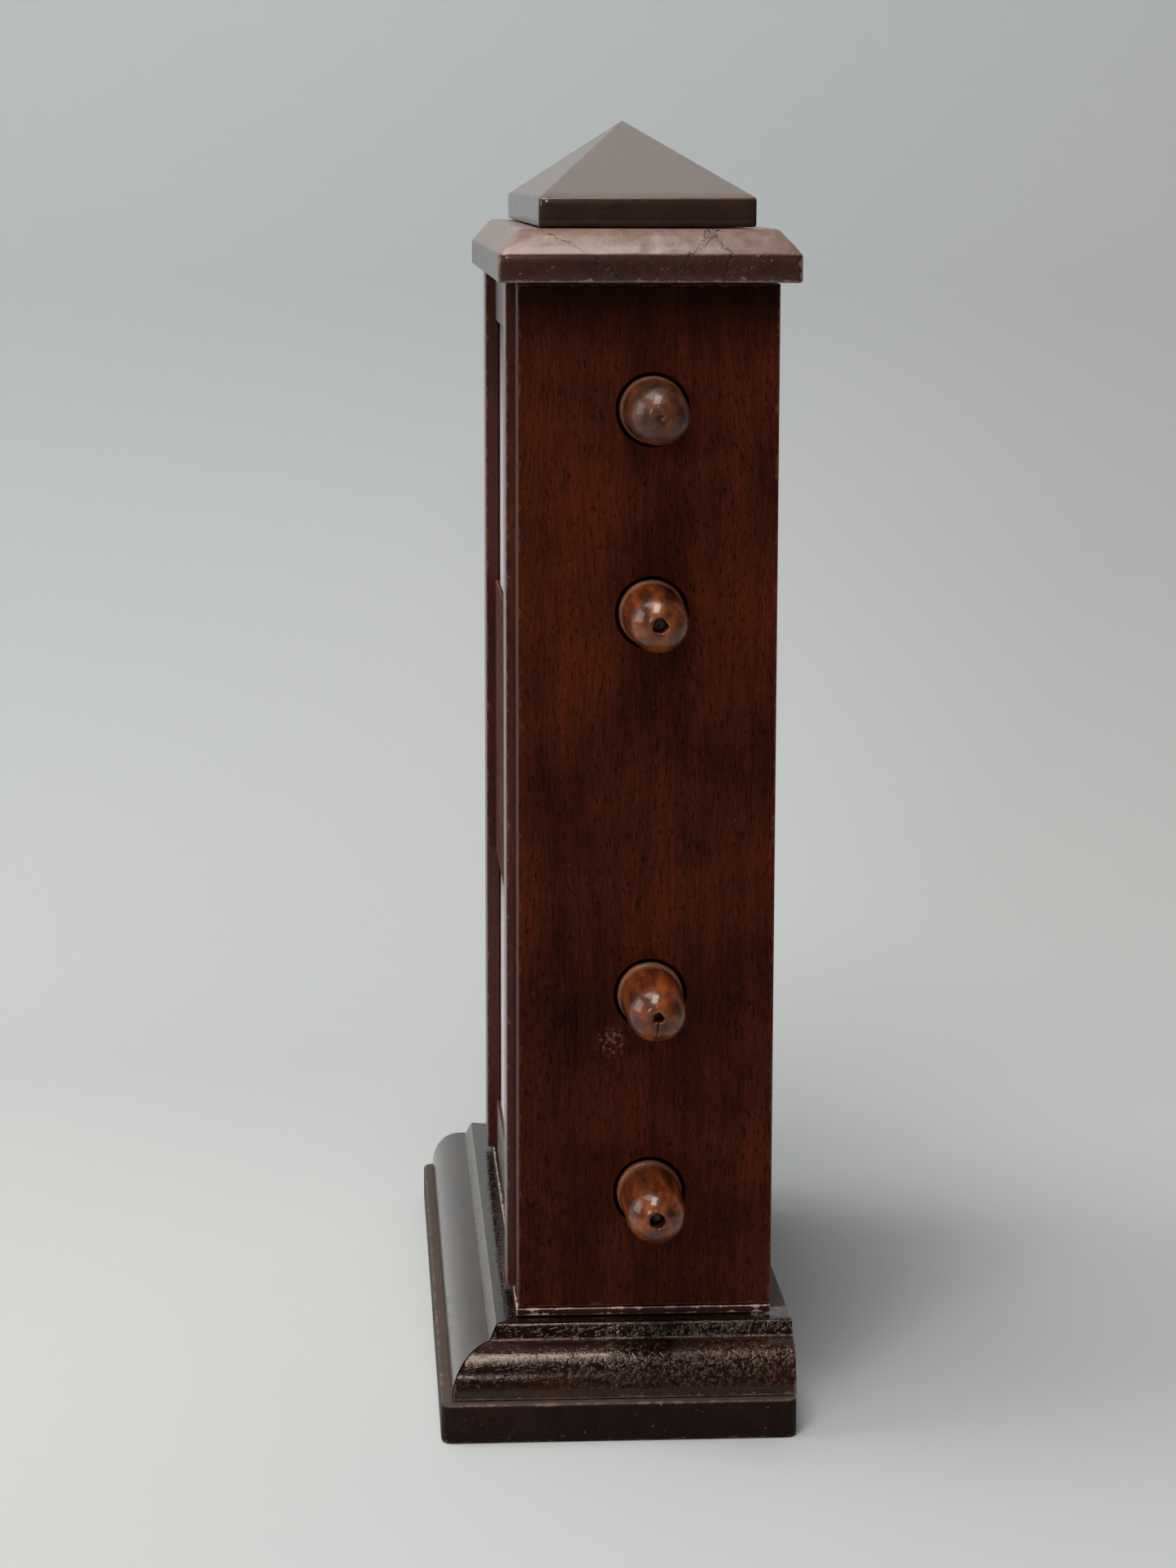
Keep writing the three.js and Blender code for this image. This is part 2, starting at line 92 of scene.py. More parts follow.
class Shader:
    """A material's node tree, made one node at a time."""

    def __init__(self, name):
        self.material = bpy.data.materials.new(name)
        self.material.use_nodes = True
        self.tree = self.material.node_tree
        self.surface = self.tree.nodes["Principled BSDF"]
        self.object_space = self.node("ShaderNodeTexCoord").outputs["Object"]

    def put(self, socket, value):
        """Links a socket to another node's output, or sets its own value."""
        if isinstance(value, bpy.types.NodeSocket):
            self.tree.links.new(value, socket)
        else:
            socket.default_value = value

    def node(self, kind, inputs=None, **settings):
        """A new node of a kind, with its settings made and its inputs put."""
        made = self.tree.nodes.new(kind)
        for key, value in settings.items():
            setattr(made, key, value)
        for key, value in (inputs or {}).items():
            self.put(made.inputs[key], value)
        return made

    def math(self, operation, first, second=0.0, third=0.0):
        inputs = {0: first, 1: second, 2: third}
        return self.node("ShaderNodeMath", inputs, operation=operation).outputs[0]

    def vector(self, operation, first, second):
        made = self.node("ShaderNodeVectorMath", {0: first, 1: second}, operation=operation)
        return made.outputs[0]

    def noise(self, place, scale=1.0, detail=2.0, roughness=0.5):
        inputs = {"Vector": place, "Scale": scale, "Detail": detail, "Roughness": roughness}
        return self.node("ShaderNodeTexNoise", inputs).outputs[0]

    def cells(self, place, scale):
        """The distance to the nearest wall between random cells."""
        inputs = {"Vector": place, "Scale": scale}
        made = self.node("ShaderNodeTexVoronoi", inputs, feature="DISTANCE_TO_EDGE")
        return made.outputs["Distance"]

    def between(self, value, low, high):
        """0 below low and 1 above high, with a smooth step from one to the other."""
        inputs = {"Value": value, "From Min": low, "From Max": high}
        kind = "ShaderNodeMapRange"
        return self.node(kind, inputs, interpolation_type="SMOOTHSTEP").outputs["Result"]

    def ramp(self, value, *stops):
        """Colours between stops, which are (value, colour) pairs."""
        made = self.node("ShaderNodeValToRGB", {"Fac": value})
        elements = made.color_ramp.elements
        while len(elements) < len(stops):
            elements.new(0.5)
        for element, (place, colour) in zip(elements, stops):
            element.position = place
            element.color = (*colour, 1.0)
        return made.outputs["Color"]

    def mix(self, share, first, second):
        """A share of the second colour over the first."""
        made = self.node("ShaderNodeMix", data_type="RGBA")
        self.put(made.inputs[0], share)
        for index, value in ((6, first), (7, second)):
            self.put(made.inputs[index], (*value, 1.0) if isinstance(value, tuple) else value)
        return made.outputs[2]

    def split(self, vector):
        """The x, y and z of a vector."""
        return self.node("ShaderNodeSeparateXYZ", {0: vector}).outputs

    def length(self, vector):
        made = self.node("ShaderNodeVectorMath", {0: vector}, operation="LENGTH")
        return made.outputs["Value"]

    def bump(self, height, depth, strength=1.0):
        """Shades the surface as if it stood height times depth higher."""
        inputs = {"Height": height, "Distance": depth, "Strength": strength}
        normal = self.node("ShaderNodeBump", inputs).outputs["Normal"]
        self.put(self.surface.inputs["Normal"], normal)

    def set(self, **values):
        """Puts values on the surface's own sockets, named with _ for each space."""
        for key, value in values.items():
            self.put(self.surface.inputs[key.replace("_", " ")], value)


def linear(hex_colour):
    """A display colour such as #3b211b, as linear red, green and blue."""
    channels = [int(hex_colour[i : i + 2], 16) / 255 for i in (1, 3, 5)]
    return tuple(c / 12.92 if c <= 0.04045 else ((c + 0.055) / 1.055) ** 2.4 for c in channels)


def place_in_mm(shader, name, grain):
    """Object space in millimetres, with the grain along Z, moved to another log for each piece."""
    split = shader.split(shader.object_space)
    order = {"X": (1, 2, 0), "Y": (2, 0, 1), "Z": (0, 1, 2)}[grain]
    joined = shader.node("ShaderNodeCombineXYZ", {i: split[o] for i, o in enumerate(order)})
    shift = sum(ord(c) * (i + 3) for i, c in enumerate(name)) % 997
    scaled = shader.vector("MULTIPLY", joined.outputs[0], (1 / MM,) * 3)
    return shader.vector("ADD", scaled, (shift, shift * 0.7, shift * 0.3))


def edge_distance(shader, low, high):
    """How far a point on a box-shaped piece is from the box's nearest edge, in millimetres."""
    split = shader.split(shader.object_space)
    gaps = []
    for axis in range(3):
        from_low = shader.math("SUBTRACT", split[axis], low[axis])
        from_high = shader.math("SUBTRACT", high[axis], split[axis])
        gaps.append(shader.math("MINIMUM", from_low, from_high))
    smaller = shader.math("MINIMUM", gaps[0], gaps[1])
    larger = shader.math("MAXIMUM", gaps[0], gaps[1])
    middle = shader.math("MAXIMUM", smaller, shader.math("MINIMUM", larger, gaps[2]))
    return shader.math("MULTIPLY", middle, 1 / MM)


# ---- materials ----------------------------------------------------------------------------

# Each wood finish. grain is its dark, middle and light colours. The next colour is painted along its
# arrises, and the pair after it is that band's width in millimetres and its strength: rubbing wear,
# and where the colour is pale, partly a painted edge highlight too. gloss is its roughness and
# shine its specular level. The other values are the strength of each effect.
PLAIN = {"coat": 0.0, "crazing": 0.0, "dust": 0.0, "split": False}
WOODS = {
    "case": PLAIN | {
        "grain": ("#120403", "#38150a", "#582310"),
        "edge_colour": "#6e4a3c",
        "edge_band": (0.35, 0.3),
        "gloss": 0.42,
        "shine": 0.05,
        "specks": 0.6,
    },
    # The floor board's strong pale edge band is a painted edge highlight along its thin front arris, and
    # wear.
    "floor": PLAIN | {
        "grain": ("#140604", "#2a110b", "#3a1a10"),
        "edge_colour": "#b09a8c",
        "edge_band": (0.3, 0.9),
        "gloss": 0.35,
        "shine": 0.3,
        "specks": 0.3,
    },
    "frame": PLAIN | {
        "grain": ("#1c0806", "#381611", "#502218"),
        "edge_colour": "#7d5a4c",
        "edge_band": (0.35, 0.4),
        "gloss": 0.3,
        "shine": 0.3,
        "specks": 0.2,
        "coat": 0.2,
    },
    "dry_rail": PLAIN | {
        "grain": ("#2b1510", "#4a2a1f", "#60382a"),
        "edge_colour": "#7d5a4c",
        "edge_band": (0.35, 0.4),
        "gloss": 0.8,
        "shine": 0.05,
        "specks": 0.2,
    },
    "base": PLAIN | {
        "grain": ("#090302", "#1c0c07", "#37190b"),
        "edge_colour": "#9a8478",
        "edge_band": (0.4, 0.35),
        "gloss": 0.1,
        "shine": 0.42,
        "specks": 0.6,
        "crazing": 1.0,
    },
    "plinth": PLAIN | {
        "grain": ("#0e0605", "#1c0f0d", "#2a1815"),
        "edge_colour": "#8f7568",
        "edge_band": (0.4, 0.3),
        "gloss": 0.5,
        "shine": 0.12,
        "specks": 0.8,
        "crazing": 0.2,
        "dust": 0.1,
    },
    "cornice": PLAIN | {
        "grain": ("#1a0d0a", "#321a14", "#4d2c21"),
        "edge_colour": "#c4a598",
        "edge_band": (0.6, 0.3),
        "gloss": 0.32,
        "shine": 0.2,
        "specks": 0.4,
        "coat": 0.35,
        "crazing": 0.3,
        "dust": 0.27,
        "split": True,
    },
    "cap": PLAIN | {
        "grain": ("#1f120c", "#2b1a13", "#382319"),
        "edge_colour": "#150a08",
        "edge_band": (0.4, 0.7),
        "gloss": 0.36,
        "shine": 0.1,
        "specks": 0.4,
        "coat": 0.6,
        "dust": 0.15,
    },
    "inner": PLAIN | {
        "grain": ("#4a3322", "#6e5038", "#8a6a4c"),
        "edge_colour": "#9a7c5e",
        "edge_band": (0.3, 0.3),
        "gloss": 0.65,
        "shine": 0.3,
        "specks": 0.2,
    },
}
DUST = linear("#c9aa9c")
# Painted darkening: shade under the cornice, and a dark reflection on the moulding's fillet.
PAINTED_DARK_COLOUR = linear("#0c0504")
SHELLAC = (1.0, 0.80, 0.68, 1.0)  # old varnish warms what it reflects
SCUFFED = "side_panel_right"
SCUFF_RADIUS = 4.2 * MM
SCUFF_DROP = 10.8 * MM  # below the third knob's axis
SCUFF_AHEAD = 8.5 * MM  # and this much nearer to the front


def crazed_varnish(shader, place, amount):
    """(crack lines, swollen islands): blistered varnish, worse the further back it is."""
    sway = shader.math("MULTIPLY", shader.noise(place, scale=0.5, detail=3.0), 5.0)
    cells = shader.cells(shader.vector("ADD", place, sway), 0.5)
    back = shader.split(shader.object_space)[1]
    patch = shader.between(shader.noise(place, scale=0.07, detail=2.0), 0.35, 0.6)
    patch = shader.math("MULTIPLY", shader.math("MULTIPLY_ADD", patch, 0.4, 0.6), amount)
    spread = shader.math("MULTIPLY_ADD", shader.between(back, -18 * MM, 8 * MM), 0.8, 0.2)
    patch = shader.math("MULTIPLY", patch, spread)
    lines = shader.math("SUBTRACT", 1.0, shader.between(cells, 0.01, 0.12))
    lumps = shader.between(shader.noise(place, scale=0.9, detail=4.0, roughness=0.65), 0.42, 0.66)
    swell = shader.math("MULTIPLY", shader.between(cells, 0.0, 0.3), lumps)
    return shader.math("MULTIPLY", lines, patch), shader.math("MULTIPLY", swell, patch)


def scuffs(shader, place):
    """Ragged scrapes inside a small round patch below the third knob."""
    knob = middle_of("lower_feed_knob")
    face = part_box(SCUFFED)[1].x
    centre = Vector((face, knob.y - SCUFF_AHEAD, knob.z - SCUFF_DROP))
    away = shader.length(shader.vector("SUBTRACT", shader.object_space, centre))
    inside = shader.math("SUBTRACT", 1.0, shader.between(away, SCUFF_RADIUS * 0.5, SCUFF_RADIUS))
    ragged = shader.between(shader.noise(place, scale=0.9, detail=3.0, roughness=0.7), 0.52, 0.6)
    return shader.math("MULTIPLY", inside, ragged)


def worn_and_highlit_lines(shader, heights, rub):
    """Thin broken pale lines along the arrises that lie at these heights: wear and painted edge
    highlights.
    """
    height = shader.split(shader.object_space)[2]
    total = 0.0
    for level in heights:
        away = shader.math("ABSOLUTE", shader.math("SUBTRACT", height, level))
        line = shader.math("SUBTRACT", 1.0, shader.between(away, 0.08 * MM, 0.24 * MM))
        total = shader.math("ADD", line, total)
    return shader.math("MULTIPLY", total, shader.between(rub, 0.36, 0.56))


def wood_colour(shader, swayed, place, wood):
    """(colour, fibres, pores): streaky, mottled grain with dark pores and pale specks."""
    dark, mid, light = (linear(c) for c in wood["grain"])
    streaks = shader.noise(shader.vector("MULTIPLY", swayed, (0.22, 0.22, 0.008)), detail=3.0)
    fibres = shader.vector("MULTIPLY", swayed, (1.5, 1.5, 0.16))
    fibres = shader.noise(fibres, detail=4.0, roughness=0.75)
    ticks = shader.noise(shader.vector("MULTIPLY", swayed, (1.9, 1.9, 0.5)), detail=2.0)
    pores = shader.between(ticks, 0.58, 0.66)
    mottle = shader.noise(place, scale=0.035, detail=3.0)
    tone = shader.math("MULTIPLY", streaks, 0.25)
    tone = shader.math("MULTIPLY_ADD", fibres, 0.4, tone)
    tone = shader.math("MULTIPLY_ADD", mottle, 0.35, tone)
    colour = shader.ramp(tone, (0.32, dark), (0.5, mid), (0.68, light))
    colour = shader.mix(shader.math("MULTIPLY", pores, 0.7), colour, dark)
    specks = shader.between(shader.noise(place, scale=1.0, detail=2.0), 0.70, 0.75)
    share = shader.math("MULTIPLY", specks, wood["specks"] * 0.5)
    return shader.mix(share, colour, linear(wood["edge_colour"])), fibres, pores


def edge_band_mask(shader, node, rub, width):
    """1 on the rubbed edges of a box-shaped piece, and 0 away from them. Where the edge colour is pale,
    this band is also a painted edge highlight.
    """
    reach = shader.math("MULTIPLY", shader.between(rub, 0.45, 0.8), 1.2)
    distance = shader.math("SUBTRACT", edge_distance(shader, *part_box(node)), reach)
    return shader.math("SUBTRACT", 1.0, shader.between(distance, 0.0, width))


def settled_dust(shader, rub, amount):
    """A patchy share of dust, on faces that look up."""
    facing = shader.node("ShaderNodeNewGeometry").outputs["Normal"]
    upward = shader.between(shader.split(facing)[2], 0.35, 0.7)
    patchy = shader.math("MULTIPLY_ADD", shader.between(rub, 0.3, 0.65), 0.35, 0.65)
    return shader.math("MULTIPLY", shader.math("MULTIPLY", upward, patchy), amount)


def varnish_splits(shader, swayed, place, rub):
    """A few long, jagged cracks."""
    jagged = shader.math("MULTIPLY", shader.noise(place, scale=0.6, detail=3.0), 5.0)
    walls = shader.cells(shader.vector("ADD", swayed, jagged), 0.033)
    split = shader.math("SUBTRACT", 1.0, shader.between(walls, 0.003, 0.014))
    return shader.math("MULTIPLY", split, shader.between(rub, 0.42, 0.52))


def aged_wood(node, look, grain, arrises=(), painted_dark=None):
    """Old polished hardwood: streaks, pores, pale arrises, dust specks, crazed varnish and painted
    darkening.

    arrises are heights with a pale line, rubbing wear and a painted edge highlight. The pair of heights
    after them is a painted darkening that thickens from one to the other: painted shade under the
    cornice, and a painted reflection of the dark case on the moulding's fillet.
    """
    wood = WOODS[look]
    dark, _, light = (linear(c) for c in wood["grain"])
    edge_colour = linear(wood["edge_colour"])
    width, strength = wood["edge_band"]
    shader = Shader(f"{node}_{look}_wood")
    place = place_in_mm(shader, node, grain)
    sway = shader.noise(shader.vector("MULTIPLY", place, (0.05, 0.05, 0.012)), detail=1.0)
    swayed = shader.vector("ADD", place, shader.math("MULTIPLY", sway, 9.0))
    rub = shader.noise(place, scale=0.35, detail=5.0, roughness=0.7)
    colour, fibres, pores = wood_colour(shader, swayed, place, wood)
    edge_band = edge_band_mask(shader, node, rub, width)
    # Painted darkening between two heights: painted shade on the side panels, a painted dark reflection
    # on the fillet.
    painted_dark_share = 0.0
    if painted_dark:
        painted_dark_share = shader.between(shader.split(shader.object_space)[2], *painted_dark)
        colour = shader.mix(shader.math("MULTIPLY", painted_dark_share, 0.75), colour, PAINTED_DARK_COLOUR)
    # Pale arris lines: wear and painted edge highlights.
    if arrises:
        edge_band = shader.math("MAXIMUM", edge_band, worn_and_highlit_lines(shader, arrises, rub))
    # The edge band is wear, and where the edge colour is pale also a painted edge highlight.
    colour = shader.mix(shader.math("MULTIPLY", edge_band, strength), colour, edge_colour)

    relief = shader.math("MULTIPLY", fibres, 0.012)
    relief = shader.math("MULTIPLY_ADD", rub, 0.03, relief)
    relief = shader.math("MULTIPLY_ADD", pores, -0.015, relief)
    if wood["crazing"]:
        lines, swell = crazed_varnish(shader, place, wood["crazing"])
        colour = shader.mix(shader.math("MULTIPLY", lines, 0.7), colour, dark)
        # Painted highlight: the swollen varnish islands are lightened.
        colour = shader.mix(shader.math("MULTIPLY", swell, 0.3), colour, light)
        relief = shader.math("MULTIPLY_ADD", swell, 0.11, relief)
    if wood["dust"]:
        colour = shader.mix(settled_dust(shader, rub, wood["dust"]), colour, DUST)
    if wood["split"]:
        split = varnish_splits(shader, swayed, place, rub)
        colour = shader.mix(shader.math("MULTIPLY", split, 0.8), colour, dark)
        relief = shader.math("MULTIPLY_ADD", split, -0.1, relief)
    if node == SCUFFED:
        colour = shader.mix(shader.math("MULTIPLY", scuffs(shader, place), 0.6), colour, edge_colour)

    rough = shader.math("MULTIPLY_ADD", rub, 0.2, wood["gloss"] - 0.1)
    rough = shader.math("MULTIPLY_ADD", edge_band, 0.12, rough)
    rough = shader.math("MULTIPLY_ADD", painted_dark_share, -0.12, rough)
    shader.bump(relief, 1.0 * MM)
    shader.set(Base_Color=colour, Roughness=rough, Specular_IOR_Level=wood["shine"])
    shader.set(Coat_Weight=wood["coat"], Coat_Roughness=0.12, Specular_Tint=SHELLAC)
    return shader.material


def turned_wood(node, colours, gloss, coat, pale_until=None):
    """Turned hardwood along X: long flecks, fine rings and dirt. It may be rubbed pale near its root."""
    dark, mid, light, pale = (linear(c) for c in colours)
    shader = Shader(f"{node}_turned")
    place = place_in_mm(shader, node, "X")
    streaks = shader.noise(shader.vector("MULTIPLY", place, (0.35, 0.35, 0.05)), detail=3.0)
    flecks = shader.noise(shader.vector("MULTIPLY", place, (2.2, 2.2, 0.9)), detail=3.0)
    dirt = shader.noise(place, scale=0.2, detail=4.0, roughness=0.7)
    colour = shader.ramp(streaks, (0.3, dark), (0.48, mid), (0.66, light))
    spots = shader.between(flecks, 0.64, 0.70)
    colour = shader.mix(shader.math("MULTIPLY", spots, 0.8), colour, dark)
    colour = shader.mix(shader.math("MULTIPLY", shader.between(dirt, 0.5, 0.75), 0.7), colour, dark)
    if pale_until is not None:
        along = shader.split(shader.object_space)[0]
        edge = shader.math("MULTIPLY_ADD", dirt, -1.5 * MM, along)
        beyond = shader.between(edge, pale_until - 1.2 * MM, pale_until - 0.6 * MM)
        rubbed = shader.math("SUBTRACT", 1.0, beyond)
        colour = shader.mix(shader.math("MULTIPLY", rubbed, 0.6), colour, pale)
    rings = shader.noise(shader.vector("MULTIPLY", place, (0.02, 0.02, 3.0)), detail=2.0)
    height = shader.math("MULTIPLY", rings, 0.02)
    height = shader.math("MULTIPLY_ADD", dirt, 0.05, height)
    height = shader.math("MULTIPLY_ADD", spots, -0.03, height)
    shader.bump(height, 1.0 * MM)
    rough = shader.math("MULTIPLY_ADD", dirt, 0.25, gloss)
    shader.set(Base_Color=colour, Roughness=rough, Specular_IOR_Level=0.35, Specular_Tint=SHELLAC)
    shader.set(Coat_Weight=coat, Coat_Roughness=0.08)
    return shader.material


def window_glass(name):
    """Old window glass, smeared, with a film of dust that shows where it is seen edge on."""
    shader = Shader(name)
    place = place_in_mm(shader, name, "Z")
    smears = shader.noise(shader.vector("MULTIPLY", place, (0.05, 0.05, 0.09)), detail=4.0)
    rough = shader.math("MULTIPLY_ADD", shader.between(smears, 0.4, 0.8), 0.1, 0.03)
    shader.bump(shader.noise(place, scale=0.03, detail=1.0), 0.1 * MM, 0.3)
    shader.set(Base_Color=(0.9, 0.95, 0.93, 1.0), Roughness=rough, IOR=1.5)
    shader.set(Transmission_Weight=1.0, Sheen_Weight=0.6, Sheen_Roughness=0.35)
    return shader.material


def old_band(name, axis_y=0.0, axis_z=0.0):
    """Aged blank paper on linen: weave, foxing, and layers on the ends of a roll."""
    shader = Shader(name)
    place = place_in_mm(shader, name, "Z")
    split = shader.split(place)
    threads = [shader.math("SINE", shader.math("MULTIPLY", split[i], 9.0)) for i in (0, 2)]
    weave = shader.math("ADD", threads[0], threads[1])
    stain = shader.noise(place, scale=0.06, detail=5.0, roughness=0.6)
    spots = shader.between(shader.noise(place, scale=0.5, detail=2.0), 0.68, 0.76)
    cream, tan, brown = linear("#d9cba8"), linear("#bfa878"), linear("#8a6a44")
    colour = shader.ramp(stain, (0.3, cream), (0.7, tan))
    colour = shader.mix(shader.math("MULTIPLY", spots, 0.5), colour, brown)
    flat = shader.vector("SUBTRACT", shader.object_space, (0.0, axis_y, axis_z))
    flat = shader.vector("MULTIPLY", flat, (0, 1, 1))
    turns = shader.math("MULTIPLY", shader.length(flat), 2 * math.pi / BAND_THICKNESS)
    layers = shader.math("SINE", turns)
    height = shader.math("MULTIPLY_ADD", layers, 0.01, shader.math("MULTIPLY", weave, 0.01))
    shader.bump(height, 1.0 * MM)
    rough = shader.math("MULTIPLY_ADD", stain, 0.15, 0.75)
    shader.set(Base_Color=colour, Roughness=rough)
    return shader.material


def old_metal(name, bright, tarnish):
    """Dull metal, tarnished in patches and finely scratched."""
    shader = Shader(name)
    place = place_in_mm(shader, name, "Z")
    patches = shader.noise(place, scale=0.8, detail=4.0, roughness=0.7)
    scratches = shader.noise(shader.vector("MULTIPLY", place, (8.0, 0.6, 8.0)), detail=2.0)
    colour = shader.mix(shader.between(patches, 0.4, 0.65), bright, tarnish)
    rough = shader.math("MULTIPLY_ADD", patches, 0.4, 0.2)
    shader.bump(shader.math("ADD", patches, scratches), 0.02 * MM)
    shader.set(Base_Color=colour, Roughness=rough, Metallic=1.0)
    return shader.material


# ---- mesh building ------------------------------------------------------------------------


def loft(rings, closed=False):
    """Joins rings of points with quads. Its ends get caps, unless the last ring joins the first."""
    bm = bmesh.new()
    levels = [[bm.verts.new(point) for point in ring] for ring in rings]
    pairs = list(zip(levels, levels[1:]))
    if closed:
        pairs.append((levels[-1], levels[0]))
    for lower, upper in pairs:
        count = len(lower)
        for i in range(count):
            j = (i + 1) % count
            bm.faces.new((lower[i], lower[j], upper[j], upper[i]))
    if not closed:
        bm.faces.new(reversed(levels[0]))
        bm.faces.new(levels[-1])
    bmesh.ops.recalc_face_normals(bm, faces=bm.faces)
    return bm


def support_caps(bm, inset):
    """A ring of faces just inside each many-sided cap, so that its shading stays flat."""
    caps = [face for face in bm.faces if len(face.verts) > 4]
    bmesh.ops.inset_individual(bm, faces=caps, thickness=inset)


def weather(bm, wander, chip, seed):
    """Moves points along their normals: a slow wander everywhere, and nibbles on the arrises."""
    bm.normal_update()
    moves = []
    for vert in bm.verts:
        spot = vert.co / MM + Vector((seed, -seed, seed * 0.5))
        slow = noise.noise(spot * 0.04)
        nibble = max(0.0, noise.noise(spot * 0.45)) ** 2 + 0.3 * max(0.0, noise.noise(spot * 1.3))
        corner = 1.0 - max(abs(c) for c in vert.normal)
        moves.append(vert.normal * (slow * wander - corner * nibble * chip))
    for vert, move in zip(bm.verts, moves):
        vert.co += move


def piece(name, bm, material, body, replaces, smooth=True):
    """A finished object on its body, in place of its CAD nodes."""
    mesh = bpy.data.meshes.new(name)
    bm.to_mesh(mesh)
    bm.free()
    if smooth:
        mesh.shade_smooth()
    mesh.materials.append(material)
    made = bpy.data.objects.new(name, mesh)
    bpy.context.scene.collection.objects.link(made)
    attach(made, body)
    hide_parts(*replaces)
    return made


def settle(made):
    """Applies a piece's modifiers to its mesh."""
    bpy.context.view_layer.update()
    graph = bpy.context.evaluated_depsgraph_get()
    finished = bpy.data.meshes.new_from_object(made.evaluated_get(graph))
    made.modifiers.clear()
    made.data = finished


def cut_away(made, bm):
    """Takes the solid bm out of a piece."""
    mesh = bpy.data.meshes.new("cutter")
    bm.to_mesh(mesh)
    bm.free()
    cutter = bpy.data.objects.new("cutter", mesh)
    bpy.context.scene.collection.objects.link(cutter)
    cut = made.modifiers.new("cut", "BOOLEAN")
    cut.operation = "DIFFERENCE"
    cut.solver = "EXACT"
    cut.object = cutter
    settle(made)
    bpy.data.objects.remove(cutter)


def soften(made, width):
    """Rounds a piece's sharp edges and keeps its flats flat."""
    bevel = made.modifiers.new("arris", "BEVEL")
    bevel.width = width
    bevel.segments = 3
    bevel.limit_method = "ANGLE"
    bevel.angle_limit = math.radians(35.0)
    bevel.harden_normals = True
    bevel.use_clamp_overlap = True
    settle(made)


def prism(outline, axis, start, end):
    """A plan or section, a list of point pairs, run along X or Z from start to end."""
    rings = []
    for w in (start, end):
        rings.append([Vector((w, u, v) if axis == "X" else (u, v, w)) for u, v in outline])
    return loft(rings)


def rectangle(u, v):
    """The corners of the rectangle that spans the ranges u and v."""
    return [(u[0], v[0]), (u[1], v[0]), (u[1], v[1]), (u[0], v[1])]


def rounded_ring(centre, half_x, half_y, z, corner, along=(48, 16), bends=5):
    """A rectangle with round corners, with points all along its sides."""
    points = []
    quarters = ((1, -1, -90), (1, 1, 0), (-1, 1, 90), (-1, -1, 180))
    for quarter, (sx, sy, start) in enumerate(quarters):
        middle = Vector((sx * (half_x - corner), sy * (half_y - corner)))
        arc = [
            middle + corner * Vector((math.cos(a), math.sin(a)))
            for a in (math.radians(start + 90 * i / bends) for i in range(bends + 1))
        ]
        following = quarters[(quarter + 1) % 4]
        next_middle = Vector((following[0] * (half_x - corner), following[1] * (half_y - corner)))
        lead = math.radians(following[2])
        far = next_middle + corner * Vector((math.cos(lead), math.sin(lead)))
        count = along[1] if quarter % 2 == 0 else along[0]
        side = [arc[-1].lerp(far, i / count) for i in range(1, count)]
        points += arc + side
    return [Vector((centre[0] + p.x, centre[1] + p.y, z)) for p in points]


def turned(profile, y, z, sides=96, wobble=None):
    """A closed profile of (x, radius) pairs turned about the X axis through y and z."""
    rings = []
    for x, radius in profile:
        ring = []
        for i in range(sides):
            angle = 2 * math.pi * i / sides
            sink, swell = wobble(x, radius, angle) if wobble else (0.0, 0.0)
            r = radius + swell
            ring.append(Vector((x - sink, y + r * math.cos(angle), z + r * math.sin(angle))))
        rings.append(ring)
    return loft(rings, closed=True)


def arc_points(centre, radius, start, end, steps):
    """Points on an arc, as (u, v) pairs. The angles are in degrees."""
    angles = [math.radians(start + (end - start) * i / steps) for i in range(steps + 1)]
    return [(centre[0] + radius[0] * math.cos(a), centre[1] + radius[1] * math.sin(a)) for a in angles]


def middle_of(node):
    """The centre of a CAD node's box."""
    low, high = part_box(node)
    return (low + high) / 2


# ---- base ---------------------------------------------------------------------------------


def make_plinth():
    """The bottom board, with round corners and eased edges."""
    low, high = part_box("plinth_board")
    half_x, half_y = (high.x - low.x) / 2, (high.y - low.y) / 2
    rings = []
    for inset, z in arc_points((PLINTH_EDGE, low.z + PLINTH_EDGE), (PLINTH_EDGE,) * 2, 270, 180, 4):
        rings.append((inset, z))
    rings.append((0.0, (low.z + high.z) / 2))
    for inset, z in arc_points((PLINTH_EDGE, high.z - PLINTH_EDGE), (PLINTH_EDGE,) * 2, 180, 90, 4):
        rings.append((inset, z))
    bm = loft([
        rounded_ring((0, 0), half_x - inset, half_y - inset, z, PLINTH_CORNER - inset)
        for inset, z in rings
    ])
    support_caps(bm, 1.5 * MM)
    weather(bm, 0.05 * MM, 0.5 * MM, 11)
    material = aged_wood("plinth_board", "plinth", "X")
    piece("plinth", bm, material, CASE, ["plinth_board"])


def moulding_section(bottom, top):
    """The moulding's outer face: (distance in from the plinth's edge, height) from the foot up."""
    ovolo_top = bottom + OVOLO_RISE
    section = arc_points((LEDGE + OVOLO_RUN, bottom), (OVOLO_RUN, OVOLO_RISE), 180, 91, 18)
    fillet_foot = (LEDGE + OVOLO_RUN, ovolo_top)
    fillet_head = (LEDGE + OVOLO_RUN + FILLET_SLANT, top)
    section.append(fillet_foot)
    section.append((fillet_foot[0] + 0.1 * FILLET_SLANT, ovolo_top + 0.2 * MM))
    section.append((fillet_head[0] - 0.12 * MM, top - 0.3 * MM))
    section.append((fillet_head[0] + 0.08 * MM, top - 0.08 * MM))
    section.append((fillet_head[0] + 0.3 * MM, top))
    section.append((fillet_head[0] + 3.0 * MM, top))
    return section


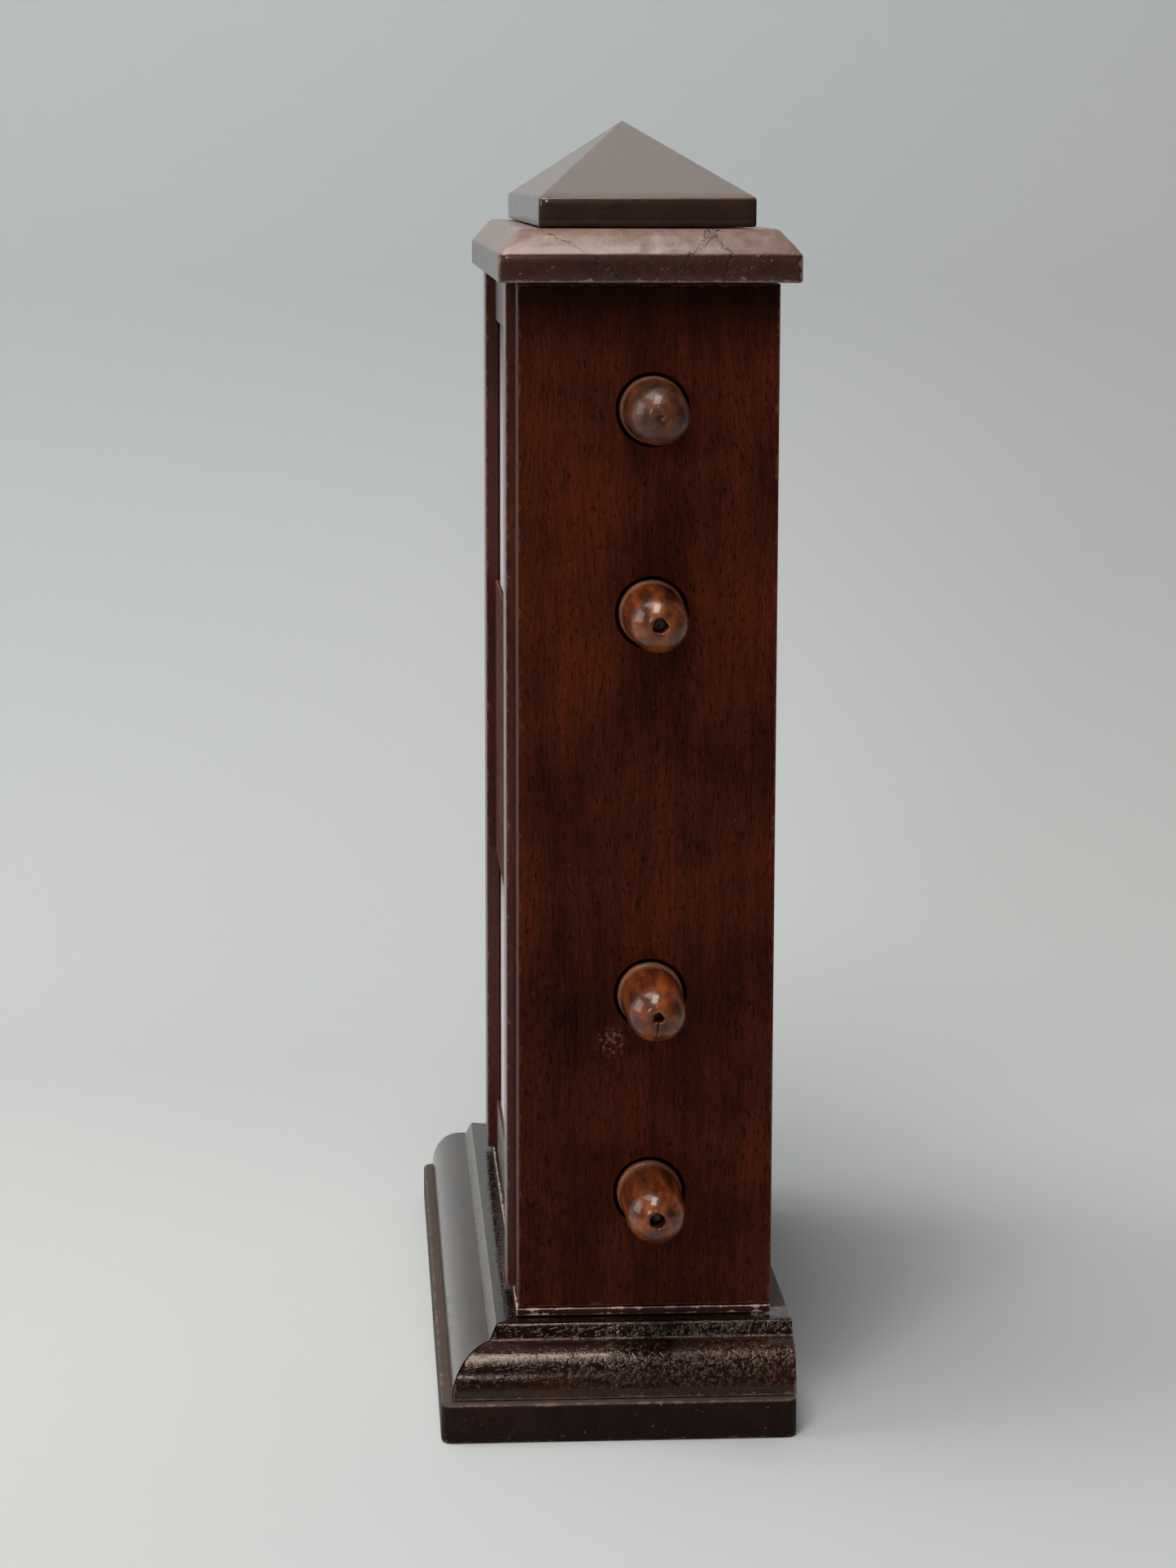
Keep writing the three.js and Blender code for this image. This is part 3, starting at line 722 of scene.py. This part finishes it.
def make_moulding(node, grain):
    """One strip of the base moulding. Each end is mitred or square, as its own box says."""
    low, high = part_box(node)
    plinth_low, plinth_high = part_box("plinth_board")
    section = moulding_section(low.z, high.z)
    back = high.y - low.y if grain == "X" else high.x - low.x
    section += [(LEDGE + back, high.z), (LEDGE + back, low.z)]
    stations = 70
    rings = []
    for i in range(stations + 1):
        share = i / stations
        ring = []
        for inward, z in section:
            if grain == "X":
                start, end = low.x + (inward - LEDGE), high.x - (inward - LEDGE)
                ring.append(Vector((start + (end - start) * share, plinth_low.y + inward, z)))
            else:
                start = low.y + (inward - LEDGE)
                along = start + (high.y - start) * share
                side = 1 if middle_of(node).x > 0 else -1
                ring.append(Vector((side * (plinth_high.x - inward), along, z)))
        rings.append(ring)
    bm = loft(rings)
    weather(bm, 0.05 * MM, 0.35 * MM, 23)
    foot, head = low.z + OVOLO_RISE, high.z - 0.3 * MM
    # The first pair of heights gets pale arris lines: wear and painted edge highlights.
    # The second pair of heights paints the fillet dark: a painted reflection of the dark case above it.
    material = aged_wood(node, "base", grain, (foot + 0.2 * MM, head), (foot, foot + 0.6 * MM))
    made = piece(f"{node}_strip", bm, material, CASE, [node], smooth=False)
    made.data.shade_smooth()
    made.data.set_sharp_from_angle(angle=math.radians(50))


def make_board(node, look, grain, arris):
    """A plain board with softened edges."""
    low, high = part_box(node)
    bm = prism(rectangle((low.x, high.x), (low.y, high.y)), "Z", low.z, high.z)
    made = piece(f"{node}_wood", bm, aged_wood(node, look, grain), CASE, [node])
    soften(made, arris)


# ---- case ---------------------------------------------------------------------------------


def side_outline(node):
    """A side panel's plan, with a rebate for the back panel."""
    low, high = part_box(node)
    rebate_front = high.y - BACK_THICKNESS - GAP
    outer, inner = (high.x, low.x) if high.x > 0 else (low.x, high.x)
    step = math.copysign(REBATE, outer)
    return [
        (inner, low.y), (outer, low.y), (outer, high.y),
        (outer - step, high.y), (outer - step, rebate_front), (inner, rebate_front),
    ]


def drill(made, cutters):
    """Cuts round holes along X: each cutter is (radius, x0, x1, y, z)."""
    for radius, x0, x1, y, z in cutters:
        circle = arc_points((y, z), (radius, radius), 0, 360, 64)[:-1]
        cut_away(made, prism(circle, "X", x0, x1))


def make_side(node, cutters):
    """A side panel, with painted shade just under the cornice."""
    low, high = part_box(node)
    bm = prism(side_outline(node), "Z", low.z, high.z)
    # Painted shade: darker over the top 22 mm, under the cornice.
    material = aged_wood(node, "case", "Z", painted_dark=(high.z - 22 * MM, high.z))
    made = piece(f"{node}_wood", bm, material, CASE, [node])
    drill(made, cutters)
    soften(made, 0.45 * MM)


def make_sides():
    """Both side panels. The right one is bored through for the knobs, and the left one is blind."""
    low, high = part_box("side_panel_right")
    right, left = [], []
    for name in ROLLERS:
        at = middle_of(f"{name}_roller")
        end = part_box(f"{name}_roller")[1].x + GAP
        right.append((BORE, low.x - CUT_PAST, high.x + CUT_PAST, at.y, at.z))
        right.append((KNOB_HOLE, high.x - KNOB_HOLE_DEPTH, high.x + CUT_PAST, at.y, at.z))
        left.append((BORE, -end, -low.x + CUT_PAST, at.y, at.z))
    make_side("side_panel_right", right)
    make_side("side_panel_left", left)


def make_stile(node):
    """A stile with a rabbeted lip towards the windows."""
    low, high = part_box(node)
    outer, inner = (high.x, low.x) if high.x > 0 else (low.x, high.x)
    lip = math.copysign(LIP_WIDTH, outer)
    outline = [
        (inner, low.y), (outer, low.y), (outer, high.y),
        (inner + lip, high.y), (inner + lip, low.y + LIP_DEPTH), (inner, low.y + LIP_DEPTH),
    ]
    bm = prism(outline, "Z", low.z, high.z)
    made = piece(f"{node}_wood", bm, aged_wood(node, "frame", "Z"), CASE, [node])
    soften(made, 0.35 * MM)


def make_rail(node, lips, look):
    """A rail with a rabbeted lip at its lower side, its upper side, or both."""
    low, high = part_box(node)
    lip_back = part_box("front_stile_right")[0].y + LIP_DEPTH
    outline = [(low.y, low.z)]
    if "below" in lips:
        outline += [(lip_back, low.z), (lip_back, low.z + LIP_WIDTH), (high.y, low.z + LIP_WIDTH)]
    else:
        outline += [(high.y, low.z)]
    if "above" in lips:
        outline += [(high.y, high.z - LIP_WIDTH), (lip_back, high.z - LIP_WIDTH), (lip_back, high.z)]
    else:
        outline += [(high.y, high.z)]
    outline.append((low.y, high.z))
    bm = prism(outline, "X", low.x, high.x)
    made = piece(f"{node}_wood", bm, aged_wood(node, look, "X"), CASE, [node])
    soften(made, 0.35 * MM)


def make_front():
    """The front frame, its panes and the beads behind them."""
    for node in ("front_stile_right", "front_stile_left"):
        make_stile(node)
    make_rail("front_rail_top", ["below"], "frame")
    make_rail("front_rail_bottom", ["above"], "frame")
    make_rail("front_rail_middle", ["below", "above"], "dry_rail")
    for window in WINDOWS:
        node = f"window_pane_{window}"
        low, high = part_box(node)
        bm = prism(rectangle((low.x, high.x), (low.y, high.y)), "Z", low.z, high.z)
        soften(piece(f"{node}_glass", bm, window_glass(node), CASE, [node]), 0.2 * MM)
        for side in ("left", "right", "bottom", "top"):
            grain = "Z" if side in ("left", "right") else "X"
            make_board(f"glazing_bead_{window}_{side}", "inner", grain, 0.4 * MM)


# ---- top ----------------------------------------------------------------------------------


def make_cornice():
    """The board on top of the case: a face, a chamfer and chipped arrises."""
    low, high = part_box("cornice_board")
    centre = ((low.x + high.x) / 2, (low.y + high.y) / 2)
    half_x, half_y = (high.x - low.x) / 2, (high.y - low.y) / 2
    face_top = low.z + CORNICE_FACE
    levels = [
        (0.5 * MM, low.z), (0.12 * MM, low.z + 0.12 * MM), (0.0, low.z + 0.5 * MM),
        (0.0, low.z + 2.5 * MM), (0.0, face_top - 2.0 * MM), (0.0, face_top - 0.4 * MM),
        (0.12 * MM, face_top - 0.05 * MM), (0.4 * MM, face_top + 0.35 * MM),
        (CHAMFER * 0.35, face_top + (high.z - face_top) * 0.35),
        (CHAMFER * 0.7, face_top + (high.z - face_top) * 0.7),
        (CHAMFER - 0.5 * MM, high.z - 0.5 * MM),
        (CHAMFER - 0.1 * MM, high.z - 0.15 * MM), (CHAMFER + 0.5 * MM, high.z),
    ]
    bm = loft([
        rounded_ring(centre, half_x - inset, half_y - inset, z, 0.7 * MM, (110, 42), 3)
        for inset, z in levels
    ])
    support_caps(bm, 2.0 * MM)
    weather(bm, 0.06 * MM, 1.1 * MM, 37)
    material = aged_wood("cornice_board", "cornice", "X")
    piece("cornice", bm, material, CASE, ["cornice_board"])


def make_cap():
    """The low pyramid: a face, then slopes that shrink to a blunt peak."""
    low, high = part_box("cap_block")
    centre = ((low.x + high.x) / 2, (low.y + high.y) / 2)
    half_x, half_y = (high.x - low.x) / 2, (high.y - low.y) / 2
    eaves = low.z + CAP_FACE
    rings = []
    for inset, z in (
        (0.6 * MM, low.z), (0.15 * MM, low.z + 0.15 * MM), (0.0, low.z + 0.6 * MM),
        (0.0, low.z + 2.4 * MM), (0.0, eaves - 2.0 * MM), (0.0, eaves - 0.6 * MM),
        (0.12 * MM, eaves - 0.2 * MM),
    ):
        rings.append((half_x - inset, half_y - inset, z, 0.7 * MM))
    steps = 14
    for i in range(steps + 1):
        share = i / steps
        shrink = 1.0 - share * 0.985 - 0.006
        z = eaves + (high.z - eaves) * share
        rings.append((half_x * shrink, half_y * shrink, z, 0.7 * MM * (1 - 0.85 * share)))
    bm = loft([rounded_ring(centre, hx, hy, z, r, (90, 30), 3) for hx, hy, z, r in rings])
    weather(bm, 0.06 * MM, 0.5 * MM, 41)
    material = aged_wood("cap_block", "cap", "X")
    piece("cap", bm, material, CASE, ["cap_block"])


# ---- rollers, knobs and bands -------------------------------------------------------------

# The radius of the hole in each knob's tip, how ragged it is, and at what angle the knob is cracked.
# The first one's hole is plugged, and a mouth near nothing keeps its bore a closed ring.
KNOB_LOOKS = {
    "upper_feed": {"mouth": 0.15 * MM, "ragged": 0.0, "crack": None},
    "upper_takeup": {"mouth": TIP_HOLE, "ragged": 0.08, "crack": None},
    "lower_feed": {"mouth": 1.1 * MM, "ragged": 0.08, "crack": 266.0},
    "lower_takeup": {"mouth": TIP_HOLE * 1.05, "ragged": 0.04, "crack": None},
}
CRACK_REACH = 6.0 * MM  # from the tip, along the knob
CRACK_DEPTH = 1.2 * MM
CRACK_HALF_WIDTH = 0.3 * MM
BRIGHT_KNOB = ("#2c1008", "#5a2811", "#84411a", "#74503a")
DARK_KNOB = ("#1d0c07", "#3f1d10", "#5c3019", "#62402f")
ROLLER_WOOD = ("#6a4a2c", "#9a7045", "#b58a58", "#b58a58")


def knob_profile(root, face, tip, mouth):
    """(x, radius) pairs round the knob's section: up its outside to the tip, back down its bore."""
    collar, edge = face + COLLAR_LENGTH, 0.3 * MM
    profile = [(root, KNOB_RADIUS - edge), (root + edge, KNOB_RADIUS), (collar - 2.5 * MM, KNOB_RADIUS)]
    profile += [(collar - 2.3 * MM, COLLAR_RADIUS - 0.15 * MM), (collar - 2.0 * MM, COLLAR_RADIUS)]
    profile += [(collar - 0.9 * MM, COLLAR_RADIUS), (collar - edge, COLLAR_RADIUS - 0.08 * MM)]
    profile += [(collar, COLLAR_RADIUS - 0.3 * MM), (collar + 0.2 * MM, KNOB_RADIUS)]
    flat = math.acos(DOME_FLAT / DOME_RADIUS)
    dome = tip - DOME_LENGTH * math.sin(flat)
    body_steps = 14
    for i in range(1, body_steps):
        share = i / body_steps
        x = collar + 0.2 * MM + (dome - collar - 0.2 * MM) * share
        profile.append((x, KNOB_RADIUS + (DOME_RADIUS - KNOB_RADIUS) * share**1.5))
    dome_steps = 26
    for i in range(dome_steps + 1):
        angle = flat * i / dome_steps
        profile.append((dome + DOME_LENGTH * math.sin(angle), DOME_RADIUS * math.cos(angle)))
    for i in range(1, 5):
        share = i / 5
        crown = 0.12 * MM * math.sin(math.pi * share)
        profile.append((tip + crown, DOME_FLAT + (mouth - DOME_FLAT) * share))
    profile += [(tip - 0.12 * MM, mouth + 0.06 * MM), (tip - 0.35 * MM, mouth)]
    profile += [(tip - 1.2 * MM, mouth), (tip - 2.4 * MM, mouth), (tip - 4 * MM, mouth)]
    profile += [(root + 1 * MM, mouth), (root, mouth)]
    return profile


def knob_wobble(look, tip):
    """(sink, swell) of each point: hand-turned unevenness, a ragged tip hole, and a crack."""
    crack = look["crack"]

    def wobble(x, radius, angle):
        spot = Vector((x, radius * math.cos(angle), radius * math.sin(angle))) / MM
        swell = noise.noise(spot * 0.25) * 0.08 * MM
        sink = 0.0
        depth = tip - x
        if radius < TIP_HOLE * 1.3 and depth < 5 * MM:
            swell += TIP_HOLE * look["ragged"] * (math.cos(3 * angle + 1) + 0.6 * math.cos(5 * angle))
        if crack is not None and depth < CRACK_REACH:
            off = abs((math.degrees(angle) - crack + 180) % 360 - 180)
            width = math.degrees(CRACK_HALF_WIDTH / radius)
            if off < width:
                sink = CRACK_DEPTH * (1 - off / width) * (1 - depth / CRACK_REACH)
        return sink, swell

    return wobble


def make_knob(name):
    """A turned knob. The top one is darker and duller than the rest."""
    node = f"{name}_knob"
    look = KNOB_LOOKS[name]
    low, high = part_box(node)
    at = middle_of(node)
    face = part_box("side_panel_right")[1].x
    profile = knob_profile(low.x, face, high.x, look["mouth"])
    bm = turned(profile, at.y, at.z, sides=120, wobble=knob_wobble(look, high.x))
    colours, gloss, coat, slot = BRIGHT_KNOB, 0.2, 0.42, "knob_wood"
    if name == "upper_feed":
        colours, gloss, coat, slot = DARK_KNOB, 0.3, 0.28, "dark_knob_wood"
    material = turned_wood(node, colours, gloss, coat, pale_until=face + 4.0 * MM)
    piece(f"{node}_turning", bm, material, name, [node])


def make_roller(name):
    """A plain roller with a thinner journal at each end and a bore for its axle."""
    node = f"{name}_roller"
    low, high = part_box(node)
    at = middle_of(node)
    radius = (high.z - low.z) / 2
    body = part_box("side_panel_right")[0].x - GAP
    half = [(body - 0.6 * MM, radius), (body, radius - 0.5 * MM)]
    half += [(body + 0.1 * MM, JOURNAL + 0.4 * MM), (body + 0.3 * MM, JOURNAL)]
    half += [(high.x - 0.5 * MM, JOURNAL), (high.x, JOURNAL - 0.5 * MM), (high.x, AXLE_BORE)]
    profile = [(-x, r) for x, r in reversed(half)] + half
    bm = turned(profile, at.y, at.z, sides=64)
    material = turned_wood(node, ROLLER_WOOD, gloss=0.4, coat=0.0)
    piece(f"{node}_turning", bm, material, name, [node])


def make_wound_roll(name):
    """The band that is wound on a roller, as one ring of paper."""
    node = f"{name}_wound_roll"
    low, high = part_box(node)
    at = middle_of(node)
    outer = (high.z - low.z) / 2
    inner = (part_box(f"{name}_roller")[1].z - at.z) + 0.1 * MM
    profile = [(low.x, inner), (low.x, outer - 0.3 * MM), (low.x + 0.2 * MM, outer)]
    profile += [(low.x + (high.x - low.x) * i / 12, outer) for i in range(1, 12)]
    profile += [(high.x - 0.2 * MM, outer), (high.x, outer - 0.3 * MM), (high.x, inner)]
    bm = turned(profile, at.y, at.z, sides=72)
    piece(f"{node}_paper", bm, old_band(node, at.y, at.z), name, [node])


def make_band(window):
    """The flat stretch of band between two rolls, with a slow ripple."""
    node = f"{window}_band"
    low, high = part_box(node)
    across, up = 40, 24
    rings = []
    for i in range(up + 1):
        z = low.z + (high.z - low.z) * i / up
        bow = math.sin(math.pi * i / up)
        front, back = [], []
        for j in range(across + 1):
            x = low.x + (high.x - low.x) * j / across
            ripple = noise.noise(Vector((x, 0.0, z)) * 25) * 0.25 * MM * bow
            front.append(Vector((x, low.y + 0.1 * MM + ripple, z)))
            back.append(Vector((x, high.y - 0.1 * MM + ripple, z)))
        rings.append(front + back[::-1])
    bm = loft(rings)
    made = piece(f"{node}_paper", bm, old_band(node), CASE, [node])
    made.data.set_sharp_from_angle(angle=math.radians(40))


# The screw head's section: (share of its radius, depth in millimetres).
SCREW_HEAD = ((0.2, 0.0), (0.75, 0.02), (0.93, 0.12), (1.0, 0.3), (0.98, 0.6), (0.55, 1.3))


def make_screw(node, faces, index):
    """A slotted screw, head and shank. faces is the way its head looks, and index turns its slot."""
    low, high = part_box(node)
    at = (low + high) / 2
    radius = (high.x - low.x) / 2
    top = Vector((at.x, at.y, low.z)) if faces == "-Z" else Vector((at.x, high.y, at.z))
    length = high.z - low.z if faces == "-Z" else high.y - low.y
    rings = [(radius * share, depth * MM) for share, depth in SCREW_HEAD]
    rings.append((radius * 0.5, length))
    bm = loft([
        [Vector((x, y, -depth)) for x, y in arc_points((0.0, 0.0), (r, r), 0, 360, 40)[:-1]]
        for r, depth in rings
    ])
    turn = Matrix.Rotation(math.pi if faces == "-Z" else -math.pi / 2, 4, "X")
    pose = Matrix.Translation(top) @ turn @ Matrix.Rotation(index, 4, "Z")
    bm.transform(pose)
    made = piece(f"{node}_metal", bm, SCREW_BRASS, CASE, [node])
    slot = bmesh.new()
    bmesh.ops.create_cube(slot, size=1.0)
    slot.transform(pose @ Matrix.Diagonal((radius * 3, 0.6 * MM, 1.2 * MM, 1)))
    cut_away(made, slot)
    made.data.set_sharp_from_angle(angle=math.radians(40))


# ---- the stage ----------------------------------------------------------------------------

BEND_START = -0.26  # where the floor starts to sweep up
BEND_RADIUS = 0.24
FLOOR_JOIN = 0.4  # where the near floor meets the part of it that the camera sees
STAGE_NEAR = 12.0
STAGE_SIDE = 8.0
STAGE_TOP = 3.0


def make_stage():
    """A pale floor that sweeps up behind the part. It is clear from behind, for views from there."""
    shader = Shader("pale_paper")
    grain = shader.noise(shader.object_space, scale=900.0, detail=3.0)
    tone = shader.noise(shader.object_space, scale=1.2, detail=2.0)
    colour = shader.ramp(tone, (0.35, linear("#b4b9bb")), (0.65, linear("#bfc1bf")))
    shader.set(Base_Color=colour, Roughness=0.85)
    shader.bump(grain, 0.05 * MM, 0.3)
    away = shader.node("ShaderNodeNewGeometry").outputs["Backfacing"]
    clear = shader.node("ShaderNodeBsdfTransparent").outputs[0]
    seen = {0: away, 1: shader.surface.outputs[0], 2: clear}
    one_sided = shader.node("ShaderNodeMixShader", seen).outputs[0]
    shader.put(shader.tree.nodes["Material Output"].inputs["Surface"], one_sided)
    track = [(STAGE_NEAR, 0.0), (FLOOR_JOIN, 0.0)]
    track += arc_points((BEND_START, BEND_RADIUS), (BEND_RADIUS, BEND_RADIUS), 270, 180, 24)
    track.append((BEND_START - BEND_RADIUS, STAGE_TOP))
    bm = bmesh.new()
    rows = [[bm.verts.new((x, y, z)) for y in (-STAGE_SIDE, STAGE_SIDE)] for x, z in track]
    for near, far in zip(rows, rows[1:]):
        bm.faces.new((near[0], near[1], far[1], far[0]))
    mesh = bpy.data.meshes.new("backdrop")
    bm.to_mesh(mesh)
    bm.free()
    mesh.shade_smooth()
    mesh.materials.append(shader.material)
    backdrop = bpy.data.objects.new("backdrop", mesh)
    bpy.context.scene.collection.objects.link(backdrop)


def aim(obj, target):
    """Turns a lamp to shine at a point."""
    obj.rotation_euler = (Vector(target) - obj.location).to_track_quat("-Z", "Y").to_euler()


def make_light(name, place, target, size, power, colour):
    """A rectangular lamp. Its size is in metres and its power in watts."""
    data = bpy.data.lights.new(name, "AREA")
    data.shape = "RECTANGLE"
    data.size, data.size_y = size
    data.energy = power
    data.color = colour
    lamp = bpy.data.objects.new(name, data)
    lamp.location = place
    bpy.context.scene.collection.objects.link(lamp)
    aim(lamp, target)


def light_scene():
    """Soft light from above and the left, and small bright windows that the knobs reflect."""
    target = (0.0, 0.0, 0.16)
    make_light("overhead", (0.50, -0.15, 1.18), target, (0.4, 0.7), 10.5, (1.0, 0.955, 0.91))
    make_light("left_window", (-0.05, -1.6, 0.75), target, (1.2, 1.0), 13, (0.96, 0.98, 1.0))
    make_light("far_wash", (-0.1, -0.5, 1.6), (-0.6, 0.4, 0.7), (0.9, 0.9), 10, (1.0, 0.985, 0.96))
    make_light("camera_window", (1.2, -0.6, 0.52), target, (0.36, 0.36), 3.6, (1.0, 0.985, 0.96))
    make_light("window_gap", (1.3, -0.05, 0.62), target, (0.09, 0.11), 0.8, (1.0, 1.0, 1.0))
    world = bpy.data.worlds.new("room")
    world.use_nodes = True
    background = world.node_tree.nodes["Background"]
    background.inputs["Color"].default_value = (0.75, 0.8, 0.85, 1.0)
    background.inputs["Strength"].default_value = 0.08
    bpy.context.scene.world = world
    bpy.context.scene.view_settings.view_transform = "Standard"


CAMERA_PLACE = (0.8949, -0.0573, 0.2791)
CAMERA_TURN = (3.602, 9.332, 0.115)  # degrees of yaw, pitch down and roll
LENS = 85.3


def make_camera():
    """A long lens from the knob side, a little to the front, looking slightly down."""
    data = bpy.data.cameras.new("camera")
    data.sensor_fit = "VERTICAL"
    data.sensor_height = 36.0
    data.lens = LENS
    camera = bpy.data.objects.new("camera", data)
    bpy.context.scene.collection.objects.link(camera)
    yaw, pitch, roll = (math.radians(a) for a in CAMERA_TURN)
    ahead = Vector((
        -math.cos(yaw) * math.cos(pitch), math.sin(yaw) * math.cos(pitch), -math.sin(pitch)
    ))
    level = Vector((math.sin(yaw), math.cos(yaw), 0.0))
    up = level.cross(ahead)
    across = level * math.cos(roll) + up * math.sin(roll)
    upright = up * math.cos(roll) - level * math.sin(roll)
    turn = Matrix((across, upright, -ahead)).transposed().to_4x4()
    camera.matrix_world = Matrix.Translation(CAMERA_PLACE) @ turn
    bpy.context.scene.camera = camera


# ---- putting it together ------------------------------------------------------------------

SCREW_BRASS = old_metal("screw_brass", linear("#a8864a"), linear("#4a3a24"))
AXLE_IRON = old_metal("axle_iron", linear("#55504b"), linear("#2a1d16"))

make_camera()
make_plinth()
make_moulding("base_moulding_front", "X")
make_moulding("base_moulding_right", "Y")
make_moulding("base_moulding_left", "Y")
make_board("base_core", "plinth", "X", 0.3 * MM)
make_board("case_floor", "floor", "X", 0.35 * MM)
make_board("back_panel", "case", "Z", 0.3 * MM)
make_sides()
make_front()
make_cornice()
make_cap()
for roller in ROLLERS:
    make_knob(roller)
    make_roller(roller)
    make_wound_roll(roller)
    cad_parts[f"{roller}_axle"].data.materials.clear()
    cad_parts[f"{roller}_axle"].data.materials.append(AXLE_IRON)
for window in WINDOWS:
    make_band(window)
for index in range(4):
    make_screw(f"base_screw_{index + 1}", "-Z", index)
for index in range(6):
    make_screw(f"back_screw_{index + 1}", "+Y", index)
make_stage()
light_scene()
